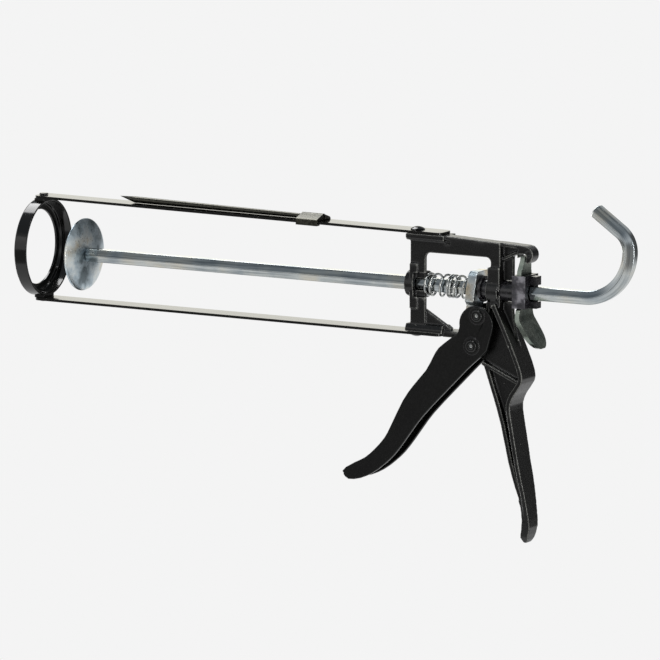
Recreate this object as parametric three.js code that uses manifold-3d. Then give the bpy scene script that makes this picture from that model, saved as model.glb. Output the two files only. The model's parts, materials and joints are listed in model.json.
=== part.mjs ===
// Caulking gun for 310 ml cartridges, in millimetres, +Z up.
// The sizes below are measured from the front face of the body (X = 0) on the push rod's axis (Y = Z = 0).
// -X points to the nozzle end, +X to the hook, -Y to the user's left.

import * as THREE from 'three';
import { mergeVertices } from 'three/addons/utils/BufferGeometryUtils.js';
import Module from 'manifold-3d';

const wasm = await Module();
wasm.setup();

// ---- driving dimensions ----

const seatGap = 0.05;        // between a seat and the part that is riveted to it
const runningGap = 0.3;      // between parts that move past each other
const rivetGap = 0.15;       // round a rivet's shank

const rod = {
  acrossFlats: 7.3, frontX: -208.6, bendX: 103.5, bendRadius: 26,
  tipRadius: 13, tipTurn: 55, tailLength: 18.5, spigotRadius: 2.6, headRadius: 4.2, headLength: 1.5,
};
const disc = { radius: 20.2, thickness: 1, dish: 2.2, hubRadius: 6 };
const pistonWasher = { radius: 6, thickness: 1.2 };

const cradle = { lift: 1.1, tilt: 0.28 };    // the rails and the ring sit a little above the rod's axis
const ring = {
  outerRadius: 27.3, wall: 1.2, frontX: -242.4, rearX: -234.6, holeRadius: 20.9, flange: 1.2,
  stepRadius: 24.3, stepHeight: 1.4, stepRun: 0.4, rounding: 1.3, padWidth: 12, padLength: 6.4, padRise: 0.8,
  yaw: 4.3,         // it stands a little askew between its two rivets
};
const rail = { width: 13, thickness: 1.45, frontX: -240.6, rearX: 18.8, rearHalfGap: 26.7, corner: 2.75 };
const ringRivet = {
  x: -237.9, shankRadius: 1.6, headRadius: 2.5, headHeight: 0.8, tailRadius: 2.3, tailHeight: 0.8,
};
const railRivet = {
  x: 1.4, shankRadius: 2.1, headRadius: 4, headHeight: 1.6, tailRadius: 3, tailHeight: 1.2, roomZ: 16,
};

const plate = { leftY: -5.6, thickness: 2.2, rightY: 2.8 };          // the body's side plate and flanges
const post = { frontDepth: 9.3, rearX: 49, rearEndX: 54.7, rearFootZ: -9.5 };
const beam = { frontZ: 27.5, bendX: 24.3, rearZ: 26.1, flange: 2.2 };
const frameWindow = { topZ: 17.9, corner: 2.8 };
const ledge = {
  halfWidth: 6.9, frontX: -2.5, rearX: 21, thickness: 2.4, fillet: 1.3,
  lowerThickness: 1.85, lowerFillet: 2.4,
};
const ledgeNotch = { length: 3.3, height: 2.1, depth: 1.2 };
const lowerBar = { topZ: -23.9, bottomZ: -27.3, halfWidth: 4.8, frontX: 20.3 };
const gusset = { thickness: 2.8, recess: 1.4, frontX: 8.2, topZ: -13, rearX: 24.4, rearZ: -22.6 };
const frontCollar = { radius: 7.3, frontX: -3.2, rearX: 2.3, bossRearX: 8.1, slotHalf: 6.6 };
const neck = { rearX: 4.8, proud: 1, topZ: 11.5, bottomZ: -13 };
const rearCollar = {
  radius: 7.6, frontX: 46.7, rearX: 53.7, neckFrontX: 47.3, neckTopZ: 12.7, neckHalf: 6.4, neckFootZ: -9,
};
const web = { halfThickness: 1.3, rearX: 60.5, topZ: -12, foot: [[62.4, -24], [64.6, -31], [56, -13]] };
const arm = {
  flangeHalf: 3.8, flange: 1.8, topZ: 25.4,
  rib: 1.6, ribHalf: 3, ribFrontZ: 15.3, ribRearX: 64.4, ribRearZ: 20.9,
};
const lip = {
  innerX: 69.3, ceilingZ: 20.9, radius: 4.9, centreX: 68.6, centreZ: 20.5, mouthFootZ: 10.3,
  dimple: 1.6, dimpleDepth: 0.6, dimpleX: 70.7, dimpleZ: 21.3,
};

const handle = {
  frontHalf: 4.5, backHalf: 8, flange: 2.5, toeHalf: 5.4, toeTopZ: -112, rib: 2, toeEdge: 0.8, toeCorner: 3,
  taperZ: [-58, -100, -124, -132, -136], waistIn: 0.6,
};
const handleFrontLine = [
  [44.4, -40.5], [49.9, -56.1], [55.1, -72.3], [59.7, -92], [64, -105.8], [67.7, -115.5], [68.5, -124],
  [67.3, -132.5],
];
const handleBackLine = [[52.8, -6.5], [59, -18.8], [65.7, -33.4], [69.4, -43], [69.2, -48.5], [64.6, -55.3],
  [62.4, -61], [63, -67.5], [64.9, -77.5], [67.4, -91.5], [70.6, -107], [72.4, -118], [73.3, -126.5],
  [71.6, -133.4]];
const handleToeLine = [[70.4, -135.4], [68.6, -135.4]];
const handleRibLine = [[43.8, -38.6], [66.4, -48.1]];
const handleHeadLine = [[45.8, -20], [45.8, -5.3]];     // the handle's front edge behind the drive bush
const handleHeadWall = [[45.8, -6], [47.8, -6], [47.8, -20], [41, -28], [38.6, -26], [45.8, -19]];

const pivot = { x: 38.6, z: -30.4, pinRadius: 2.5, bossRadius: 6.2, bossHalf: 4.9, webHalf: 4 };
const drivePin = { z: -13.8, pinRadius: 1.7, bushRadius: 2.9, bushHalf: 4.9 };
const pinHead = { radius: 3.4, height: 0.9, dimpleRadius: 1.3, dimpleDepth: 0.45 };

const trigger = {
  outerHalf: 7, sheet: 1.8, headX: 41, headZ: -18.7, headRadius: 10.2, webTopX: 23.4, toeX: -35,
  padHeight: 0.4, padRadius: 4.6,
};
const triggerFrontLine = [
  [29.9, -24], [25.4, -27.4], [18.3, -33], [14.9, -38.2], [10.5, -45.9], [2.7, -54.9], [-3.7, -63.7],
  [-11.1, -78.1], [-15, -85], [-21.1, -91.8], [-27.2, -97], [-33.4, -100.2], [-39, -103.4],
];
const triggerTip = [-41.3, -105.8];
const triggerBackLine = [
  [-40.6, -107.4], [-37.4, -109.9], [-30, -108.8], [-22, -105], [-15, -99.8], [-9, -94.2], [-3.2, -87],
  [2.2, -79.6], [8.8, -71.2], [22.5, -56.8], [36, -43.2], [42.5, -37.4], [47.6, -32.4],
];

const drivePlate = {
  thickness: 5.2, halfWidth: 7.65, frontX: 35.3, tilt: 8, topZ: 9.9, bottomZ: -17, chamfer: 2.2,
  shoulderZ: -6.2, waistZ: -8.6, waistHalf: 4.9, holeGap: 0.3,
};
const spring = {
  outerRadius: 6.5, wire: 1.3, turnX: [9.1, 12.2, 18.5, 22.7, 24.3, 27, 32.4], frontTurn: 0.35, rearTurn: 0.7,
};

const sleeve = { outerRadius: 5.5, boreRadius: 4.6 };
const thrustFlange = { rimWidth: 1.5, thickness: 1.6 };
const thrustFlangeRadius = sleeve.outerRadius + thrustFlange.rimWidth;
const block = { frontX: 63, rearX: 71, halfWidth: 7.4, topZ: 9.6, bottomZ: -8 };
const blockSlot = { frontX: 64.3, rearX: 68.8, halfWidth: 6.3 };
const prong = { rearX: 75.3, halfWidth: 2.7, innerZ: 4.5, topZ: 9.2, bottomZ: -8 };

const lever = {
  thickness: 2.6, frontX: 65.2, neckZ: 12, topZ: 19.6, topLean: 1.2, bendZ: -13.5, tipZ: -29.4, tabLean: 33,
  topHalf: 4, neckHalf: 5.85, slotHalf: 6, hipHalf: 7.25, tabHalf: 8.9, hipZ: -9, shoulderZ: -15,
  holeGap: 0.5,
  topStep: 2, neckStep: 1, slotStep: 3, tipRound: 8, tipReach: 1.05, tabRoom: 20,
};

const needle = {
  frontRadius: 1.8, rearRadius: 1.25, tipX: -187.7, tipRise: 1.3, shoulderX: -177.8, rearX: -57.6, lift: 0.1,
};
const clip = { frontX: -70.5, rearX: -57.1, sheet: 0.8, gap: 0.2, hookInner: 4.4, sideZ: 2.1 };

const gripPoint = { x: 58, z: -70 };   // middle of the handle, where the hand holds the gun
const round = 28;                      // facets of an average round part

// ---- values worked out from them ----

const handleReachX = Math.max(...handleBackLine.map(([x]) => x)) + handle.flange;
const railFrontHalfGap = ring.outerRadius + ring.padRise;
const railSlope = (railFrontHalfGap - rail.rearHalfGap) / (rail.rearX - rail.frontX);
const railTilt = Math.atan(railSlope);
const railInner = (x) => rail.rearHalfGap + (rail.rearX - x) * railSlope;
const bodySeatZ = railInner(rail.rearX) - seatGap;
const ringSeatZ = railInner(ring.rearX) - seatGap;
const plateInnerY = plate.leftY + plate.thickness;
const tiltSlope = Math.tan(THREE.MathUtils.degToRad(drivePlate.tilt));
const driveDepth = drivePlate.thickness / Math.cos(THREE.MathUtils.degToRad(drivePlate.tilt));
const driveFront = (z) => drivePlate.frontX + z * tiltSlope;
const driveRear = (z) => driveFront(z) + driveDepth;
const drivePinX = driveRear(drivePin.z)
  + (drivePin.bushRadius + runningGap) / Math.cos(THREE.MathUtils.degToRad(drivePlate.tilt));
const thrustFrontX = driveRear(thrustFlangeRadius) + seatGap * 2;
const boreRadius = rod.acrossFlats / Math.sqrt(3) + runningGap;
const springFrontX = frontCollar.bossRearX + seatGap;
const railFlangeZ = beam.frontZ - beam.flange - cradle.lift;    // the beam's inner face in the cradle
const cheekInner = trigger.outerHalf - trigger.sheet;
const ringInner = ring.outerRadius - ring.wall;
const ringTailZ = (gap = 0) => Math.sqrt(ringInner ** 2 - (ringRivet.tailRadius + runningGap) ** 2) - gap;

// ---- helpers: three.js geometry to closed solids and back ----

function toSolid(geometry) {
  geometry.deleteAttribute('normal');
  geometry.deleteAttribute('uv');
  const merged = mergeVertices(geometry, 1e-4);
  const index = merged.getIndex().array;
  const triangles = [];
  for (let i = 0; i < index.length; i += 3) {
    const [a, b, c] = [index[i], index[i + 1], index[i + 2]];
    if (a !== b && b !== c && c !== a) triangles.push(a, b, c);
  }
  return new wasm.Manifold(new wasm.Mesh({
    numProp: 3,
    vertProperties: Float32Array.from(merged.getAttribute('position').array),
    triVerts: Uint32Array.from(triangles),
  }));
}

function toMesh(name, solid, material) {
  const mesh = solid.getMesh();
  const geometry = new THREE.BufferGeometry();
  geometry.setAttribute('position', new THREE.BufferAttribute(mesh.vertProperties, 3));
  geometry.setIndex(new THREE.BufferAttribute(mesh.triVerts, 1));
  geometry.computeVertexNormals();
  const result = new THREE.Mesh(geometry, material);
  result.name = name;
  return result;
}

function join(...solids) {
  return solids.reduce((whole, piece) => whole.add(piece));
}

function shapeOf(points) {
  return new THREE.Shape(points.map(([x, y]) => new THREE.Vector2(x, y)));
}

function extrude(shape, depth, curveSegments = 6) {
  return new THREE.ExtrudeGeometry(shape, { depth, bevelEnabled: false, curveSegments });
}

// a side outline (X, Z) given thickness from y0 to y1
function sidePlate(outline, y0, y1, curveSegments) {
  const shape = Array.isArray(outline) ? shapeOf(outline) : outline;
  const geometry = extrude(shape, y1 - y0, curveSegments);
  geometry.rotateX(Math.PI / 2);
  geometry.translate(0, y1, 0);
  return toSolid(geometry);
}

// a cross section (Y, Z) drawn out from x0 to x1
function lengthwise(outline, x0, x1, curveSegments) {
  const shape = Array.isArray(outline) ? shapeOf(outline) : outline;
  const geometry = extrude(shape, x1 - x0, curveSegments);
  const turn = new THREE.Matrix4().makeBasis(
    new THREE.Vector3(0, 1, 0), new THREE.Vector3(0, 0, 1), new THREE.Vector3(1, 0, 0));
  geometry.applyMatrix4(turn);
  geometry.translate(x0, 0, 0);
  return toSolid(geometry);
}

function box(x0, x1, y0, y1, z0, z1) {
  const geometry = new THREE.BoxGeometry(x1 - x0, y1 - y0, z1 - z0);
  geometry.translate((x0 + x1) / 2, (y0 + y1) / 2, (z0 + z1) / 2);
  return toSolid(geometry);
}

function cylinder(radius, length, facets = round) {
  return new THREE.CylinderGeometry(radius, radius, length, facets);
}

function cylinderX(radius, x0, x1, z = 0, facets = round) {
  const geometry = cylinder(radius, x1 - x0, facets);
  geometry.rotateZ(Math.PI / 2);
  geometry.translate((x0 + x1) / 2, 0, z);
  return toSolid(geometry);
}

function cylinderY(radius, y0, y1, x, z, facets = round) {
  const geometry = cylinder(radius, y1 - y0, facets);
  geometry.translate(x, (y0 + y1) / 2, z);
  return toSolid(geometry);
}

function cylinderZ(radius, z0, z1, x, facets = 24) {
  const geometry = cylinder(radius, z1 - z0, facets);
  geometry.rotateX(Math.PI / 2);
  geometry.translate(x, 0, (z0 + z1) / 2);
  return toSolid(geometry);
}

// a profile of [radius, x] pairs turned about the rod's axis, which runs round the section anticlockwise
function turned(profile, facets = round) {
  const geometry = new THREE.LatheGeometry(profile.map(([r, x]) => new THREE.Vector2(r, x)), facets);
  geometry.rotateZ(-Math.PI / 2);
  return toSolid(geometry);
}

function smooth(points, steps = 2) {
  const curve = new THREE.SplineCurve(points.map(([x, y]) => new THREE.Vector2(x, y)));
  return curve.getPoints((points.length - 1) * steps).map((p) => [p.x, p.y]);
}

function arc(centreX, centreY, radius, startDegrees, endDegrees, steps = 8) {
  const points = [];
  for (let i = 0; i <= steps; i += 1) {
    const angle = THREE.MathUtils.degToRad(startDegrees + ((endDegrees - startDegrees) * i) / steps);
    points.push([centreX + radius * Math.cos(angle), centreY + radius * Math.sin(angle)]);
  }
  return points;
}

// the same path moved sideways, to its left for a positive distance
function offset(points, distance) {
  return points.map(([x, y], i) => {
    const before = points[Math.max(i - 1, 0)];
    const after = points[Math.min(i + 1, points.length - 1)];
    const [dx, dy] = [after[0] - before[0], after[1] - before[1]];
    const length = Math.hypot(dx, dy);
    return [x - (dy / length) * distance, y + (dx / length) * distance];
  });
}

function strip(path, thickness) {
  return [...path, ...offset(path, thickness).reverse()];
}

function hexagon(acrossFlats) {
  const radius = acrossFlats / Math.sqrt(3);
  return arc(0, 0, radius, 0, 300, 5);
}

// ---- materials ----

function finish(color, roughness, metalness) {
  return new THREE.MeshStandardMaterial({ color, roughness, metalness });
}

const enamel = finish(0x0d0d0c, 0.2, 0);
const powderCoat = finish(0x161615, 0.45, 0);
const zinc = finish(0xb9bcb8, 0.3, 1);
const dullZinc = finish(0x6f7672, 0.4, 1);
const springSteel = finish(0xa4a6a2, 0.25, 1);
const moulding = finish(0x242426, 0.55, 0);
const gunmetal = finish(0x2b2c28, 0.35, 1);

// ---- front ring, rails and their rivets ----

function frontRing() {
  const backX = ring.frontX + ring.flange;
  const shell = turned([
    [ring.outerRadius, ring.rearX],
    [ringInner, ring.rearX],
    [ringInner, backX + ring.stepHeight],
    [ring.stepRadius + ring.stepRun, backX + ring.stepHeight],
    [ring.stepRadius, backX],
    [ring.holeRadius, backX],
    [ring.holeRadius, ring.frontX],
    ...arc(ring.outerRadius - ring.rounding, ring.frontX + ring.rounding, ring.rounding, -90, 0, 3),
    [ring.outerRadius, ring.rearX],
  ], 48);
  const padHalf = ring.padWidth / 2;
  const pads = box(ring.rearX - ring.padLength, ring.rearX, -padHalf, padHalf, -ringSeatZ, ringSeatZ);
  const barrel = cylinderX(ringInner + ring.wall / 2, ring.frontX - 1, ring.rearX + 1, 0, 48);
  const holes = cylinderZ(ringRivet.shankRadius + rivetGap, -ringSeatZ - 1, ringSeatZ + 1, ringRivet.x);
  const tailRoom = cylinderZ(ringRivet.tailRadius + runningGap, -ringTailZ(), ringTailZ(), ringRivet.x);
  return shell.add(pads.subtract(barrel)).subtract(holes).subtract(tailRoom)
    .translate([-ringRivet.x, 0, 0])
    .rotate([0, 0, ring.yaw])
    .translate([ringRivet.x, 0, 0]);
}

function railSolid() {
  const half = rail.width / 2;
  const corner = rail.corner;
  const outline = shapeOf([
    ...arc(rail.rearX - corner, half - corner, corner, 0, 90, 4),
    ...arc(rail.frontX + corner, half - corner, corner, 90, 180, 4),
    ...arc(rail.frontX + corner, corner - half, corner, 180, 270, 4),
    ...arc(rail.rearX - corner, corner - half, corner, 270, 360, 4),
  ]);
  const geometry = extrude(outline, rail.thickness);
  const blank = toSolid(geometry);
  const holes = join(
    cylinderZ(railRivet.shankRadius + rivetGap, -1, rail.thickness + 1, railRivet.x),
    cylinderZ(ringRivet.shankRadius + rivetGap, -1, rail.thickness + 1, ringRivet.x),
  );
  return onRail(blank.subtract(holes));
}

// moves a solid drawn over the rail's flat blank onto the top rail's slope
function onRail(solid) {
  const slope = THREE.MathUtils.radToDeg(railTilt);
  return solid.translate([-rail.rearX, 0, 0])
    .rotate([0, slope, 0])
    .translate([rail.rearX, 0, rail.rearHalfGap]);
}

function mirrored(solid) {
  return solid.mirror([0, 0, 1]);
}

// the ring, the rails and their seats are drawn about one middle line, which this lays over the rod
function inCradle(solid) {
  return solid.rotate([0, cradle.tilt, 0]).translate([0, 0, cradle.lift]);
}

function domeHead(radius, height, z, x) {
  const sphere = (radius * radius + height * height) / (2 * height);
  const geometry = new THREE.SphereGeometry(sphere, 20, 16);
  geometry.rotateX(Math.PI / 2);
  geometry.translate(x, 0, z + height - sphere);
  return toSolid(geometry).intersect(box(x - radius, x + radius, -radius, radius, z, z + height + 1));
}

function railRivetSolid() {
  const seat = railInner(railRivet.x) + rail.thickness + rivetGap;
  const under = railFlangeZ - seatGap;
  return join(
    domeHead(railRivet.headRadius, railRivet.headHeight, seat, railRivet.x),
    cylinderZ(railRivet.shankRadius, under - railRivet.tailHeight, seat + rivetGap, railRivet.x),
    cylinderZ(railRivet.tailRadius, under - railRivet.tailHeight, under, railRivet.x),
  );
}

function ringRivetSolid() {
  const seat = railInner(ringRivet.x) + rail.thickness + rivetGap;
  const top = seat + ringRivet.headHeight;
  const innerWall = ringTailZ(seatGap);
  const foot = innerWall - ringRivet.tailHeight;
  return join(
    cylinderZ(ringRivet.headRadius, seat, top, ringRivet.x),
    cylinderZ(ringRivet.shankRadius, foot, top, ringRivet.x),
    cylinderZ(ringRivet.tailRadius, foot, innerWall, ringRivet.x),
  );
}

// ---- body casting with its handle ----

function handleSolid() {
  const front = smooth(handleFrontLine);
  const back = smooth(handleBackLine);
  const outline = [...back, ...handleToeLine, ...[...front].reverse(), [pivot.x, pivot.z - pivot.webHalf],
    [pivot.x, pivot.z + pivot.webHalf], ...handleHeadLine];
  const thick = handle.frontHalf;
  const centreWeb = sidePlate(outline, -web.halfThickness, web.halfThickness);
  const frontFlange = sidePlate(strip(front, handle.flange), -thick, thick);
  const backFlange = sidePlate(strip(back, -handle.flange), -handle.backHalf, handle.backHalf);
  const { toeHalf, toeTopZ } = handle;
  const toeZone = box(pivot.x, handleReachX, -toeHalf, toeHalf, handle.taperZ[4], toeTopZ);
  const toe = sidePlate(outline, -toeHalf, toeHalf).intersect(toeZone);
  const headWall = sidePlate(handleHeadWall, -thick, thick);
  const rib = sidePlate(strip(handleRibLine, -handle.rib), -thick, thick);
  const whole = join(centreWeb, frontFlange, backFlange, toe, headWall, rib);
  return whole.intersect(lengthwise(handleTaper(), post.frontDepth, handleReachX));
}

// the handle seen from the front, which narrows to its toe
function handleTaper() {
  const [waistZ, hipZ, toeZ, edgeZ, footZ] = handle.taperZ;
  const { backHalf, toeHalf, waistIn, toeEdge, toeCorner } = handle;
  const left = [[-backHalf, 0], [-backHalf, waistZ], [waistIn - backHalf, hipZ], [-toeHalf, toeZ],
    [toeEdge - toeHalf, edgeZ], [toeCorner - toeHalf, footZ]];
  return [...left, ...[...left].reverse().map(([y, z]) => [-y, z])];
}

function sideFrame() {
  const outline = new THREE.Shape();
  const { corner, topZ } = frameWindow;
  outline.moveTo(0, lowerBar.topZ - 1);
  outline.lineTo(post.frontDepth, lowerBar.topZ - 1);
  outline.lineTo(post.frontDepth, topZ - corner);
  outline.absarc(post.frontDepth + corner, topZ - corner, corner, Math.PI, Math.PI / 2, true);
  outline.absarc(post.rearX - corner, topZ - corner, corner, Math.PI / 2, 0, true);
  outline.lineTo(post.rearX, post.rearFootZ);
  outline.lineTo(post.rearEndX, post.rearFootZ);
  outline.lineTo(post.rearEndX, beam.rearZ);
  outline.lineTo(beam.bendX, beam.frontZ);
  outline.lineTo(0, beam.frontZ);
  const face = sidePlate(outline, plate.leftY, plateInnerY);
  const topFlange = sidePlate([
    [0, beam.frontZ], [beam.bendX, beam.frontZ], [post.rearEndX, beam.rearZ],
    [post.rearEndX, beam.rearZ - beam.flange], [beam.bendX, beam.frontZ - beam.flange],
    [0, beam.frontZ - beam.flange],
  ], plate.leftY, plate.rightY);
  const frontFlange = box(0, plate.thickness, plate.leftY, plate.rightY, lowerBar.topZ - 1, beam.frontZ);
  const stepWall = box(post.rearEndX - plate.thickness, post.rearEndX, plate.leftY, -web.halfThickness + 0.2,
    post.rearFootZ, beam.rearZ - 0.2);
  return join(face, topFlange, frontFlange, stepWall);
}

function railSeats() {
  const half = ledge.halfWidth;
  const { leftY, rightY } = plate;
  const inner = bodySeatZ - ledge.thickness;
  const filletZ = inner - ledge.fillet;
  const upper = lengthwise([[-half, bodySeatZ], [-half, inner], [leftY, filletZ], [rightY, filletZ],
    [half, inner], [half, bodySeatZ]], ledge.frontX, ledge.rearX);
  const lowerZ = ledge.lowerThickness - bodySeatZ;
  const lowerFilletZ = lowerZ + ledge.lowerFillet;
  const lower = lengthwise([[-half, -bodySeatZ], [-half, lowerZ], [leftY, lowerFilletZ],
    [rightY, lowerFilletZ], [half, lowerZ], [half, -bodySeatZ]], ledge.frontX, lowerBar.frontX);
  const bar = box(lowerBar.frontX - 1, pivot.x, -lowerBar.halfWidth, lowerBar.halfWidth,
    lowerBar.bottomZ, lowerBar.topZ);
  return join(inCradle(upper), inCradle(lower), bar);
}

function gussetSolid() {
  const left = plate.leftY + gusset.recess;
  const footZ = lowerBar.topZ - 1;
  return sidePlate([[gusset.frontX, gusset.topZ], [gusset.rearX, gusset.rearZ], [gusset.rearX, footZ],
    [gusset.frontX, footZ]], left, left + gusset.thickness);
}

function frontBearing() {
  const collar = cylinderX(frontCollar.radius, frontCollar.frontX, frontCollar.bossRearX);
  const left = plate.leftY - neck.proud;
  const upper = box(0, neck.rearX, left, plate.rightY, 0, neck.topZ);
  const lower = box(0, neck.rearX, left, plate.rightY, neck.bottomZ, 0);
  return join(collar, upper, lower);
}

function rearBearing() {
  const collar = cylinderX(rearCollar.radius, rearCollar.frontX, rearCollar.rearX);
  const { neckFrontX, neckHalf, neckTopZ, neckFootZ } = rearCollar;
  const above = box(neckFrontX, post.rearEndX, -neckHalf, web.halfThickness, 0, neckTopZ);
  const below = box(neckFrontX, post.rearEndX, -handle.frontHalf, handle.frontHalf, neckFootZ, 0);
  return join(collar, above, below);
}

function rearArm() {
  const half = web.halfThickness;
  const startX = post.rearEndX - plate.thickness;
  const ribLine = [[startX, arm.ribFrontZ], [arm.ribRearX, arm.ribRearZ]];
  const upright = sidePlate([[startX, rearCollar.neckFootZ], [startX, arm.topZ - arm.flange],
    [web.rearX, arm.topZ - arm.flange], [web.rearX, web.topZ], ...web.foot], -half, half);
  const bracketTopZ = arm.topZ - arm.flange / 2;
  const bracket = sidePlate([...ribLine, [lip.centreX, arm.ribRearZ], [lip.centreX, bracketTopZ],
    [startX, bracketTopZ]], -half, half);
  const rib = sidePlate(strip(ribLine, arm.rib), -arm.ribHalf, arm.ribHalf);
  const top = sidePlate([[startX - 1, beam.rearZ], [startX - 1, beam.rearZ - arm.flange],
    [lip.centreX, arm.topZ - arm.flange], [lip.centreX, arm.topZ], [post.rearEndX, beam.rearZ]],
    -arm.flangeHalf, arm.flangeHalf);
  const nose = cylinderY(lip.radius, -arm.flangeHalf, arm.flangeHalf, lip.centreX, lip.centreZ, 32);
  const reach = arm.flangeHalf + 1;
  const mouth = box(arm.ribRearX, lip.innerX, -reach, reach, lip.mouthFootZ, lip.ceilingZ);
  const dimpleY = lip.dimpleDepth - arm.flangeHalf;
  const dimple = cylinderY(lip.dimple, -reach, dimpleY, lip.dimpleX, lip.dimpleZ, 16);
  return join(upright, bracket, rib, top, nose).subtract(mouth).subtract(dimple);
}

function rivetRoom() {
  const hole = cylinderZ(railRivet.shankRadius + rivetGap, railRivet.roomZ, bodySeatZ + 1, railRivet.x);
  return hole.add(cylinderZ(railRivet.tailRadius + runningGap, railRivet.roomZ, railFlangeZ, railRivet.x));
}

function bodyCasting() {
  const boss = cylinderY(pivot.bossRadius, -pivot.bossHalf, pivot.bossHalf, pivot.x, pivot.z);
  const whole = join(sideFrame(), railSeats(), gussetSolid(), frontBearing(), rearBearing(), rearArm(),
    handleSolid(), boss);
  const ledgeUnderZ = bodySeatZ - ledge.thickness + cradle.lift;
  const cuts = join(
    box(frontCollar.rearX, post.frontDepth + 1, plate.leftY - neck.proud - 1, plateInnerY,
      -frontCollar.slotHalf, frontCollar.slotHalf),
    box(ledge.rearX, ledge.rearX + ledgeNotch.length, plate.leftY - 1, plate.leftY + ledgeNotch.depth,
      ledgeUnderZ - ledgeNotch.height, ledgeUnderZ),
    cylinderX(boreRadius, frontCollar.frontX - 1, frontCollar.bossRearX + 1),
    cylinderX(sleeve.outerRadius + runningGap, rearCollar.frontX - 1, block.frontX),
    cylinderY(pivot.pinRadius + rivetGap, -pivot.bossHalf - 1, pivot.bossHalf + 1, pivot.x, pivot.z),
    inCradle(rivetRoom()),
    inCradle(mirrored(rivetRoom())),
  );
  return whole.subtract(cuts);
}

// ---- push rod and its piston ----

class HookCurve extends THREE.Curve {
  getPoint(t, target = new THREE.Vector3()) {
    const straight = rod.bendX - rod.frontX;
    const bend = (rod.bendRadius * Math.PI) / 2;
    const tip = rod.tipRadius * THREE.MathUtils.degToRad(rod.tipTurn);
    let s = t * (straight + bend + tip + rod.tailLength);
    if (s <= straight) return target.set(rod.frontX + s, 0, 0);
    s -= straight;
    if (s <= bend) {
      const turn = s / rod.bendRadius;
      const bendZ = rod.bendRadius * (1 - Math.cos(turn));
      return target.set(rod.bendX + rod.bendRadius * Math.sin(turn), 0, bendZ);
    }
    s -= bend;
    const centreX = rod.bendX + rod.bendRadius - rod.tipRadius;
    const angle = Math.min(s, tip) / rod.tipRadius;
    const rest = Math.max(s - tip, 0);
    return target.set(
      centreX + rod.tipRadius * Math.cos(angle) - rest * Math.sin(angle),
      0,
      rod.bendRadius + rod.tipRadius * Math.sin(angle) + rest * Math.cos(angle),
    );
  }
}

function pushRod() {
  const section = new THREE.Shape(hexagon(rod.acrossFlats).map(([x, y]) => new THREE.Vector2(y, x)));
  const shaft = toSolid(new THREE.ExtrudeGeometry(section, {
    steps: 84, bevelEnabled: false, extrudePath: new HookCurve(),
  }));
  const headX = rod.frontX - disc.thickness - pistonWasher.thickness - seatGap * 3;
  const spigot = cylinderX(rod.spigotRadius, headX - rod.headLength, rod.frontX + 1, 0, 24);
  const head = cylinderX(rod.headRadius, headX - rod.headLength, headX, 0, 24);
  return join(shaft, spigot, head);
}

function pistonDisc() {
  const rearX = rod.frontX - seatGap;
  const bowl = [];
  const steps = 4;
  for (let i = 0; i <= steps; i += 1) {
    const share = i / steps;
    const radius = disc.hubRadius + (disc.radius - disc.hubRadius) * share;
    bowl.push([radius, rearX - disc.dish * share * share]);
  }
  const bore = rod.spigotRadius + rivetGap;
  const front = bowl.map(([radius, x]) => [radius, x - disc.thickness]);
  const centre = [[bore, rearX], [bore, rearX - disc.thickness]];
  return turned([...centre, ...front, ...bowl.reverse(), centre[0]], 40);
}

function pistonWasherSolid() {
  const rearX = rod.frontX - disc.thickness - seatGap * 2;
  const outer = cylinderX(pistonWasher.radius, rearX - pistonWasher.thickness, rearX, 0, 32);
  const bore = cylinderX(rod.spigotRadius + rivetGap, rearX - pistonWasher.thickness - 1, rearX + 1, 0, 24);
  return outer.subtract(bore);
}

// ---- drive: spring, plate, sleeve, block and lever ----

class CoilCurve extends THREE.Curve {
  constructor() {
    super();
    const half = spring.wire / 2;
    const turns = spring.turnX.map((x, i) => new THREE.Vector2(i, x));
    const start = new THREE.Vector2(-spring.frontTurn, springFrontX + half);
    const lastTurn = spring.turnX.length - 1 + spring.rearTurn;
    const end = new THREE.Vector2(lastTurn, drivePlate.frontX - half - seatGap * 3);
    this.pitch = new THREE.SplineCurve([start, ...turns, end]);
  }

  getPoint(t, target = new THREE.Vector3()) {
    const at = this.pitch.getPoint(t);
    const radius = spring.outerRadius - spring.wire / 2;
    const angle = at.x * Math.PI * 2;
    const z = radius * Math.sin(angle);
    const last = spring.turnX.length - 1;
    const lean = THREE.MathUtils.smoothstep(at.x, last - 1, last) * tiltSlope;
    return target.set(at.y + lean * z, -radius * Math.cos(angle), z);
  }
}

function mainSpring() {
  const section = new THREE.Shape();
  section.absarc(0, 0, spring.wire / 2, 0, Math.PI * 2);
  return toSolid(new THREE.ExtrudeGeometry(section, {
    steps: 112, curveSegments: 3, bevelEnabled: false, extrudePath: new CoilCurve(),
  }));
}

function drivePlateSolid() {
  const { halfWidth, topZ, bottomZ, chamfer, waistHalf, shoulderZ, waistZ } = drivePlate;
  const lean = sidePlate([
    [driveFront(topZ), topZ], [driveRear(topZ), topZ],
    [driveRear(bottomZ), bottomZ], [driveFront(bottomZ), bottomZ],
  ], -halfWidth, halfWidth);
  const right = [[waistHalf, bottomZ], [waistHalf, waistZ], [halfWidth, shoulderZ],
    [halfWidth, topZ - chamfer], [halfWidth - chamfer, topZ]];
  const left = [...right].reverse().map(([y, z]) => [-y, z]);
  const face = lengthwise([...right, ...left], driveFront(bottomZ) - 1, driveRear(topZ) + 1);
  const bore = hexagon(rod.acrossFlats + drivePlate.holeGap * 2);
  const hole = lengthwise(bore, driveFront(bottomZ), driveRear(topZ));
  return lean.intersect(face).subtract(hole);
}

function thrustFlangeSolid() {
  const rearX = thrustFrontX + thrustFlange.thickness;
  const bore = cylinderX(sleeve.outerRadius + rivetGap, thrustFrontX - 1, rearX + 1);
  return cylinderX(thrustFlangeRadius, thrustFrontX, rearX).subtract(bore);
}

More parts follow.
